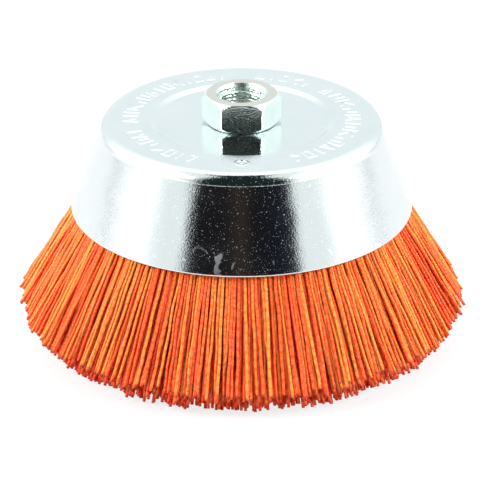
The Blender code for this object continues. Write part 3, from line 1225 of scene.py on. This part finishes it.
    def waves(self) -> Rows:
        """Crimps a strand, lets its end stray, and turns it to its place.

        Returns:
            The rows.
        """
        return {
            "crimp turns": ("MULTIPLY", "share", "Crimps"),
            "crimp place": (VECTOR, {"X": "crimp turns", "Y": "phase"}),
            "wobble": (NOISE, {"Vector": "crimp place", "Scale": 1.0, "Detail": 0.0}),
            "centred": (VECTOR_SUM, {0: "wobble:Color", 1: (0.5, 0.5, 0.5)}, {"operation": "SUBTRACT"}),
            "freeing": ("MULTIPLY", "share", self.freeing),
            "freedom": ("MINIMUM", "freeing", 1.0),
            "swing": ("MULTIPLY", "Crimp", "freedom"),
            "crimp": (VECTOR_SUM, {0: "centred", "Scale": "swing"}, {"operation": "SCALE"}),
            "share squared": ("MULTIPLY", "share", "share"),
            "stray": ("MULTIPLY", "Stray", "share squared"),
            "out": ("MULTIPLY", "stray", "stray out"),
            "round": ("MULTIPLY", "stray", "stray round"),
            "drift": (VECTOR, {"X": "out", "Y": "round"}),
            "crimped": (VECTOR_SUM, {0: "spot", 1: "crimp"}, {"operation": "ADD"}),
            "strayed": (VECTOR_SUM, {0: "crimped", 1: "drift"}, {"operation": "ADD"}),
            "position": (
                "ShaderNodeVectorRotate", {"Vector": "strayed", "Angle": "angle"}, {"rotation_type": "Z_AXIS"}
            ),
        }

    def tubes(self) -> Rows:
        """Turns the points into tubes, with their tone, mixed with painted shade by depth, and length kept
        for the material.

        Returns:
            The rows.
        """
        stored = {"data_type": "FLOAT", "domain": "POINT"}
        toned = {"Geometry": "points", "Name": TONE_AND_SHADE, "Value": "full tone"}
        measured = {"Geometry": "toned", "Name": ALONG, "Value": "end place"}
        strung = {"Points": "measured", "Curve Group ID": "strand", "Weight": "step"}
        ring = {"Resolution": "Sides", "Radius": "Filament Radius"}
        swept = {"Curve": "curves", "Profile Curve": "circle", "Fill Caps": True}
        return {
            # Half the tone is the hairpin's own, drawn at random; the other half is painted shade, darker and
            # redder for filaments deeper in the bundle.
            "own tone": ("MULTIPLY", "tone", 0.5),
            "sunk": ("MULTIPLY", "fold depth", 0.5),
            "near surface": ("SUBTRACT", 0.5, "sunk"),
            "full tone": ("ADD", "own tone", "near surface"),
            "strands": ("MULTIPLY", "Slots", "Layers"),
            "count": ("MULTIPLY", "strands", "points each"),
            "points": ("GeometryNodePoints", {"Count": "count", "Position": "position"}),
            "toned": ("GeometryNodeStoreNamedAttribute", toned, stored),
            "end place": ("MULTIPLY", "share", "End Shade"),
            "measured": ("GeometryNodeStoreNamedAttribute", measured, stored),
            "curves": ("GeometryNodePointsToCurves", strung),
            "circle": ("GeometryNodeCurvePrimitiveCircle", ring, {"mode": "RADIUS"}),
            "tubes": ("GeometryNodeCurveToMesh", swept),
            "real": ("GeometryNodeRealizeInstances", {"Geometry": "tubes"}),
            "dressed": ("GeometryNodeSetMaterial", {"Geometry": "real", "Material": "Material"}),
            "output": ("NodeGroupOutput", {"Geometry": "dressed"}),
        }

    def build(self) -> bpy.types.NodeTree:
        """Builds the tree from its rows.

        Returns:
            The tree.
        """
        tree = bpy.data.node_groups.new("crimped_strands", "GeometryNodeTree")
        tree.interface.new_socket(name="Geometry", in_out="OUTPUT", socket_type="NodeSocketGeometry")
        for kind, names in self.inputs:
            for name in names:
                tree.interface.new_socket(name=name, in_out="INPUT", socket_type=f"NodeSocket{kind}")
        given = tree.nodes.new("NodeGroupInput").outputs
        sockets = {name: given[name] for _, names in self.inputs for name in names}
        rows = self.numbering() | self.chances() | self.spots() | self.waves() | self.tubes()
        add_rows(tree, rows, sockets)
        return tree


@dataclass
class Bristles:
    """The filaments: hairpins over the anchor ring, with their free ends in bundles."""

    lip_r: float
    lip_z: float
    ring_r: float
    ring_z: float
    wall_lean: float
    sectors: int
    filament_r: float = 0.53 * MM
    join_z: float = 50.5 * MM
    outer_fold_r: float = 7.0 * MM
    inner_fold_r: float = 2.8 * MM
    plate_lean: float = math.radians(212.3)
    outer_run: tuple[Point, ...] = ((56.1, 43.4), (61.7, 34.5), (69.3, 22.2), (77.0, 9.8))
    middle_run: tuple[Point, ...] = ((50.5, 43.4), (60.6, 21.0), (70.3, 0.3))
    inner_run: tuple[Point, ...] = ((45.0, 43.4), (51.6, 22.0), (58.3, 0.3))
    slots: int = 14
    layers: int = 8
    steps: int = 12
    sides: int = 5
    crimp: float = 0.9 * MM
    crimps: float = 6.0  # over a free length
    stray: float = 1.7 * MM
    shortest: float = 0.965  # of the longest
    fold_steps: int = 14
    bend_reach: tuple[Point, Point] = ((2 * MM, 3 * MM), (3 * MM, 7 * MM))  # from the lip

    @classmethod
    def from_frame(cls, cup: PressedCup, wire: AnchorWire) -> "Bristles":
        """Takes the lip from the first bundle's hinge, and the channel from its neighbours.

        Args:
            cup: The cup.
            wire: The anchor ring.

        Returns:
            The bristles.
        """
        hinge = next(j for j in frame["joints"] if j["child"] == f"{BUNDLE}01")["pos_m"]
        sectors = sum(1 for node in frame["nodes"] if node.startswith(BUNDLE))
        return cls(
            lip_r=math.hypot(hinge[0], hinge[1]),
            lip_z=hinge[2],
            ring_r=wire.ring_r,
            ring_z=wire.ring_z,
            wall_lean=cup.wall_lean(),
            sectors=sectors,
        )

    def guide(self, name: str, points: Sequence[Point], smooth: bool) -> bpy.types.Object:
        """Makes a guide curve in the XZ plane, which isn't part of the object.

        Args:
            name: Its name.
            points: Its knots' radii and heights.
            smooth: Whether it bends evenly through them or runs straight between them.

        Returns:
            The curve, linked to no scene.
        """
        curve = bpy.data.curves.new(name, "CURVE")
        curve.dimensions = "3D"
        spline = curve.splines.new("BEZIER")
        spline.bezier_points.add(len(points) - 1)
        for knot, (r, z) in zip(spline.bezier_points, points):
            knot.co = (r, 0, z)
            knot.handle_left_type = knot.handle_right_type = "AUTO" if smooth else "VECTOR"
        return bpy.data.objects.new(name, curve)

    def arm(self, lean: float) -> Vector:
        """A unit vector in the radius and height plane."""
        return Vector((math.cos(lean), math.sin(lean)))

    def channel(self) -> list[tuple[Vector, Vector]]:
        """Finds the filaments at the join, where the free legs start.

        Returns:
            The places of the outer, middle and inner one, each with its direction there.
        """
        ring = Vector((self.ring_r, self.ring_z))
        ways = []
        for lean, side in ((self.wall_lean, -1), (self.plate_lean, 1)):
            start = ring + self.arm(lean) * self.outer_fold_r
            run = self.arm(lean + side * math.pi / 2)
            ways.append((start + run * (start.y - self.join_z) / -run.y, run))
        exit_middle = Vector(self.middle_run[0]) * MM
        run = (exit_middle - ring).normalized()
        middle = (ring + run * (ring.y - self.join_z) / -run.y, run)
        return [ways[0], middle, ways[1]]

    def free_guides(self) -> list[bpy.types.Object]:
        """Makes the guide curves for the free legs, from the join down to the tips.

        Returns:
            The outer, middle and inner guide.
        """
        guides = []
        runs = (self.outer_run, self.middle_run, self.inner_run)
        for name, (start, _), run in zip(("outer", "middle", "inner"), self.channel(), runs):
            knots = [(start.x, start.y), *((r * MM, z * MM) for r, z in run)]
            guides.append(self.guide(f"{name}_leg_guide", knots, smooth=True))
        return guides

    def fold_guides(self) -> list[bpy.types.Object]:
        """Makes the guide curves for the hairpins.

        Returns:
            The guides of the outermost hairpin, the halfway one and the one tight on the wire.
        """
        ring = Vector((self.ring_r, self.ring_z))
        (outer, _), (middle, parting), (inner, _) = self.channel()
        down = math.atan2(parting.y, parting.x)
        clearance = 1.05
        across = Vector((-parting.y, parting.x)) * self.filament_r * clearance
        first, last = down + math.pi / 2, down + 3 * math.pi / 2
        tight = (middle + across, middle - across, self.inner_fold_r, first, last)
        loose = (outer, inner, self.outer_fold_r, self.wall_lean, self.plate_lean)
        half = [(a + b) / 2 for a, b in zip(loose, tight)]
        guides = []
        shares = [i / self.fold_steps for i in range(self.fold_steps + 1)]
        for name, (start, end, radius, first, last) in zip(("loose", "half", "tight"), (loose, half, tight)):
            arc = [ring + self.arm(first + (last - first) * share) * radius for share in shares]
            spots = [(spot.x, spot.y) for spot in (start, *arc, end)]
            guides.append(self.guide(f"{name}_fold_guide", spots, smooth=False))
        return guides

    def grow(
        self, name: str, tree: bpy.types.NodeTree, guides: Sequence[bpy.types.Object], values: dict[str, Any]
    ) -> bpy.types.Object:
        """Runs the strand tree and keeps its mesh as a piece.

        Args:
            name: The piece's name.
            tree: The strand tree.
            guides: Outer, middle and inner guide.
            values: The tree's other inputs, by name.

        Returns:
            The piece, with no modifier left.
        """
        host = bpy.data.objects.new(f"{name}_host", bpy.data.meshes.new(f"{name}_host"))
        bpy.context.scene.collection.objects.link(host)
        modifier = host.modifiers.new("strands", "NODES")
        modifier.node_group = tree
        values = {**values, **dict(zip(("Outer Guide", "Middle Guide", "Inner Guide"), guides))}
        for socket in tree.interface.items_tree:
            if socket.in_out == "INPUT":
                modifier[socket.identifier] = values[socket.name]
        graph = bpy.context.evaluated_depsgraph_get()
        grown = host.evaluated_get(graph)
        mesh = bpy.data.meshes.new_from_object(grown, preserve_all_data_layers=True, depsgraph=graph)
        bpy.data.objects.remove(host)
        mesh.name = name
        return shaded_piece(name, mesh, sharp_degrees=80)

    def values(self, finish: bpy.types.Material, number: int) -> dict[str, Any]:
        """Lists the tree's inputs that a bundle's legs and folds share, by name.

        Args:
            finish: The filaments' material.
            number: The bundle's number, from 1.

        Returns:
            The values.
        """
        return {
            "Slots": self.slots,
            "Folded Layers": self.layers // 2,
            "Steps": self.steps,
            "Sides": self.sides,
            "Sector": FULL_TURN / self.sectors,
            "Heading": self.heading(number),
            "Filament Radius": self.filament_r,
            "Seed": number,
            "Material": finish,
        }

    def heading(self, number: int) -> float:
        """The turn angle of a bundle's middle."""
        return FULL_TURN * (number - 1) / self.sectors

    def bundle(
        self,
        number: int,
        tree: bpy.types.NodeTree,
        guides: Sequence[bpy.types.Object],
        finish: bpy.types.Material,
    ) -> bpy.types.Object:
        """Grows the free legs of one bundle.

        Args:
            number: The bundle's number, from 1.
            tree: The strand tree.
            guides: Outer, middle and inner guide of the legs.
            finish: Their material.

        Returns:
            The piece.
        """
        values = {
            **self.values(finish, number),
            "Layers": self.layers,
            "Crimp": self.crimp,
            "Crimps": self.crimps,
            "Stray": self.stray,
            "Shortest": self.shortest,
            "End Shade": 1.0,
        }
        return self.grow(f"filament_bundle_{number:02d}", tree, guides, values)

    def folds(
        self, tree: bpy.types.NodeTree, guides: Sequence[bpy.types.Object], finish: bpy.types.Material
    ) -> bpy.types.Object:
        """Grows the hairpin folds of every bundle and joins them into one piece.

        Args:
            tree: The strand tree.
            guides: Outer, middle and inner guide of the folds.
            finish: Their material.

        Returns:
            The piece.
        """
        bm = bmesh.new()
        still = {"Crimp": 0.0, "Crimps": 1.0, "Stray": 0.0, "Shortest": 1.0, "End Shade": 0.0}
        for number in range(1, self.sectors + 1):
            values = {**self.values(finish, number), "Layers": self.layers // 2, **still}
            part = self.grow("folds_of_one_bundle", tree, guides, values)
            bm.from_mesh(part.data)
            bpy.data.objects.remove(part)
        mesh = bpy.data.meshes.new("filament_folds")
        bm.to_mesh(mesh)
        bm.free()
        mesh.materials.append(finish)
        return shaded_piece("filament_folds", mesh, sharp_degrees=80)

    def build(self, finish: bpy.types.Material) -> tuple[bpy.types.Object, list[bpy.types.Object]]:
        """Grows all the filaments.

        Args:
            finish: Their material.

        Returns:
            The folds, and the bundles in order.
        """
        tree = StrandTree().build()
        free, folded = self.free_guides(), self.fold_guides()
        bundles = [self.bundle(number, tree, free, finish) for number in range(1, self.sectors + 1)]
        folds = self.folds(tree, folded, finish)
        for guide in free + folded:
            bpy.data.objects.remove(guide)
        return folds, bundles

    def bend_line(self, number: int) -> tuple[Vector, Vector]:
        """Finds where a bundle bends.

        Args:
            number: The bundle's number, from 1.

        Returns:
            The places above and below the lip where its bending starts and stops.
        """
        a = self.heading(number)
        outward, up = Vector((math.cos(a), math.sin(a), 0)), Vector((0, 0, 1))
        lip = outward * self.lip_r + up * self.lip_z
        (in_above, up_above), (out_below, down_below) = self.bend_reach
        return lip - outward * in_above + up * up_above, lip + outward * out_below - up * down_below


# ---------------------------------------------------------------- studio


@dataclass
class Studio:
    """A pale floor, a white surround with one dark side, soft lights and the camera."""

    distance: float = 977.8 * MM
    elevation: float = math.radians(25.63)
    aim_z: float = 28.7 * MM
    lens: float = 211.8
    sensor: float = 36.0
    shift: float = 0.00165
    floor_size: float = 12.0
    floor_drop: float = 0.2 * MM
    slot_half: float = 0.79  # half width of the dark slot, by the distance to the tent's wall
    tent_height: float = 3.6  # by the same distance
    backdrop: float = 0.95
    lamp_distance: float = 1.2
    lamp_size: float = 0.5
    lamps: tuple[tuple[str, float, float, float], ...] = (  # azimuth, elevation and watts
        ("side_left", -66.0, 36.0, 15.0),
        ("side_right", 64.0, 34.0, 13.0),
    )
    room: tuple[tuple[float, str], ...] = (  # the dark slot, from its left side to its right
        (0.0, "#17171A"), (0.38, "#1E1C1D"), (0.5, "#3A302A"),
        (0.58, "#1B1B1D"), (0.8, "#181A24"), (1.0, "#2B2E36"),
    )
    room_top: str = "#1E2B2B"
    near_slot: Colour = (1.02, 1.06, 1.05, 1.0)
    far_wall: Colour = (1.02, 1.09, 1.10, 1.0)
    wall_foot: Colour = (1.11, 1.13, 1.13, 1.0)
    side_wall: float = 1.6

    def floor(self) -> bpy.types.Object:
        """Builds the floor and marks it as staging.

        Returns:
            The floor.
        """
        bm = bmesh.new()
        bmesh.ops.create_grid(bm, x_segments=8, y_segments=8, size=self.floor_size / 2)
        mesh = bpy.data.meshes.new("floor")
        bm.to_mesh(mesh)
        bm.free()
        board = bpy.data.objects.new("floor", mesh)
        bpy.context.scene.collection.objects.link(board)
        mesh.materials.append(StudioFloor().material())
        board.location.z = -self.floor_drop
        return board

    def slot_rows(self) -> Rows:
        """Lays out a dark slot from the camera's side up over the top, and how far each way is in it.

        Returns:
            The rows.
        """
        top = {"Value": "axes:Z", "From Min": 0.3, "From Max": 0.45}
        across = {"Value": "leftward", "From Min": self.slot_half, "From Max": -self.slot_half}
        stops = {place: linear(code) for place, code in self.room}
        return {
            "place": (COORDS, {}),
            "axes": (AXES, {0: "place:Generated"}),
            "aside": ("ABSOLUTE", "axes:X"),
            "wall half": ("MULTIPLY", "axes:Y", -self.slot_half),
            "roof half": ("MULTIPLY", "axes:Z", self.slot_half / self.tent_height),
            "half": ("MAXIMUM", "wall half", "roof half"),
            "across": ("DIVIDE", "aside", "half"),
            "inside": (SPAN, {"Value": "across", "From Min": 0.94, "From Max": 1.05, **FALLING}, SMOOTHLY),
            "behind": ("DIVIDE", "axes:Y", "axes:Z"),
            "before": (SPAN, {"Value": "behind", "From Min": 0.06, "From Max": 0.12, **FALLING}, SMOOTHLY),
            "dark": ("MULTIPLY", "inside", "before"),
            "leftward": ("DIVIDE", "axes:X", "axes:Y"),
            "room place": (SPAN, across),
            "room": (RAMP, {"Fac": "room place"}, {"stops": stops}),
            "high": (SPAN, top),
            "slot": (MIX, {"Factor": "high", "A": "room", "B": linear(self.room_top)}, IN_COLOUR),
        }

    def wall_rows(self) -> Rows:
        """Lays out the white walls, brighter at the sides than at the back and beside the slot.

        Returns:
            The rows.
        """
        side, foot = even(self.side_wall), self.wall_foot
        return {
            "to back": (SPAN, {"Value": "axes:Y", "From Min": 0.3, "From Max": 0.85}, SMOOTHLY),
            "from slot": (SPAN, {"Value": "across", "From Min": 1.8, "From Max": 3.6}, SMOOTHLY),
            "overhead": (SPAN, {"Value": "behind", "From Min": 0.08, "From Max": 0.16}, SMOOTHLY),
            "clear of slot": ("MAXIMUM", "from slot", "overhead"),
            "sides": (MIX, {"Factor": "clear of slot", "A": self.near_slot, "B": side}, IN_COLOUR),
            "upper": (MIX, {"Factor": "to back", "A": "sides", "B": self.far_wall}, IN_COLOUR),
            "from floor": (SPAN, {"Value": "axes:Z", "From Min": -0.04, "From Max": 0.14}),
            "walls": (MIX, {"Factor": "from floor", "A": foot, "B": "upper"}, IN_COLOUR),
        }

    def surround(self) -> None:
        """Builds the world: a white tent with a dark slot, behind which the camera sees plain white."""
        world = bpy.data.worlds.new("studio_tent")
        bpy.context.scene.world = world
        world.use_nodes = True
        world.node_tree.nodes.clear()
        plain = {"Factor": "rays:Is Camera Ray", "A": "seen", "B": even(self.backdrop)}
        rows = {
            **self.slot_rows(),
            **self.wall_rows(),
            "seen": (MIX, {"Factor": "dark", "A": "walls", "B": "slot"}, IN_COLOUR),
            "rays": ("ShaderNodeLightPath", {}),
            "plain": (MIX, plain, IN_COLOUR),
            "glow": ("ShaderNodeBackground", {"Color": "plain", "Strength": 1.0}),
            "output": ("ShaderNodeOutputWorld", {"Surface": "glow"}),
        }
        add_rows(world.node_tree, rows)

    def light(self, name: str, azimuth: float, elevation: float, power: float) -> None:
        """Adds a soft area light that faces the object.

        Args:
            name: The light's name.
            azimuth: Degrees round from the camera's side, positive to the right.
            elevation: Degrees above the horizon.
            power: Watts.
        """
        lamp = bpy.data.lights.new(name, "AREA")
        lamp.shape = "SQUARE"
        lamp.size = self.lamp_size
        lamp.energy = power
        a, e = math.radians(azimuth), math.radians(elevation)
        way = Vector((math.sin(a) * math.cos(e), -math.cos(a) * math.cos(e), math.sin(e)))
        place = bpy.data.objects.new(name, lamp)
        place.location = way * self.lamp_distance
        place.rotation_euler = way.to_track_quat("Z", "Y").to_euler()
        bpy.context.scene.collection.objects.link(place)

    def camera(self) -> None:
        """Adds the camera, square to one flat of the nut."""
        lens = bpy.data.cameras.new("studio_camera")
        lens.lens = self.lens
        lens.sensor_width = self.sensor
        lens.shift_x = self.shift
        view = bpy.data.objects.new("studio_camera", lens)
        way = Vector((0, -math.cos(self.elevation), math.sin(self.elevation)))
        view.location = way * self.distance + Vector((0, 0, self.aim_z))
        view.rotation_euler = way.to_track_quat("Z", "Y").to_euler()
        bpy.context.scene.collection.objects.link(view)
        bpy.context.scene.camera = view

    def build(self) -> None:
        """Sets up the whole studio."""
        self.floor()
        self.surround()
        for lamp in self.lamps:
            self.light(*lamp)
        self.camera()
        bpy.context.scene.view_settings.view_transform = "Standard"


# ---------------------------------------------------------------- main


def settle(piece: bpy.types.Object, slot: str, *nodes: str) -> None:
    """Fixes a piece on the cup's body.

    Args:
        piece: The piece.
        slot: The name of its look; not used.
        nodes: The CAD nodes that it replaces.
    """
    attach(piece, CUP_BODY)
    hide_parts(*nodes)
    LOG.info("%s: %d faces, on %s", piece.name, len(piece.data.polygons), CUP_BODY)


def main() -> None:
    """Builds every piece in order."""
    logging.basicConfig(level=logging.INFO, format="%(message)s")
    pressed, machined, faced, inner = (ZincPlate(grade).material() for grade in ZincGrade)
    cup, nut, stack = PressedCup.from_frame(), ThreadedNut.from_frame(), ClampStack.from_frame()
    wire = AnchorWire.from_frame()
    settle(cup.build(PressedMarks(), pressed), "zinc_plated_cup", "outer_cup")
    settle(nut.build(machined, faced), "zinc_plated_nut", "arbor_nut")
    settle(stack.plate(inner), "zinc_plated_inner", "inner_plate")
    settle(stack.washer(inner), "zinc_plated_inner", "clamp_washer")
    settle(wire.build(DrawnWire().material()), "steel_wire", "anchor_ring")

    bristles = Bristles.from_frame(cup, wire)
    folds, bundles = bristles.build(AbrasiveNylon().material())
    settle(folds, "abrasive_nylon", "bristle_folds")
    for number, piece in enumerate(bundles, start=1):
        node = f"{BUNDLE}{number:02d}"
        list(bristles.bend_line(number))
        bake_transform(piece)
        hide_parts(node)
        LOG.info("%s: %d faces, bends from %s to %s", piece.name, len(piece.data.polygons), CUP_BODY, node)

    Studio().build()


if __name__ == "__main__":
    main()
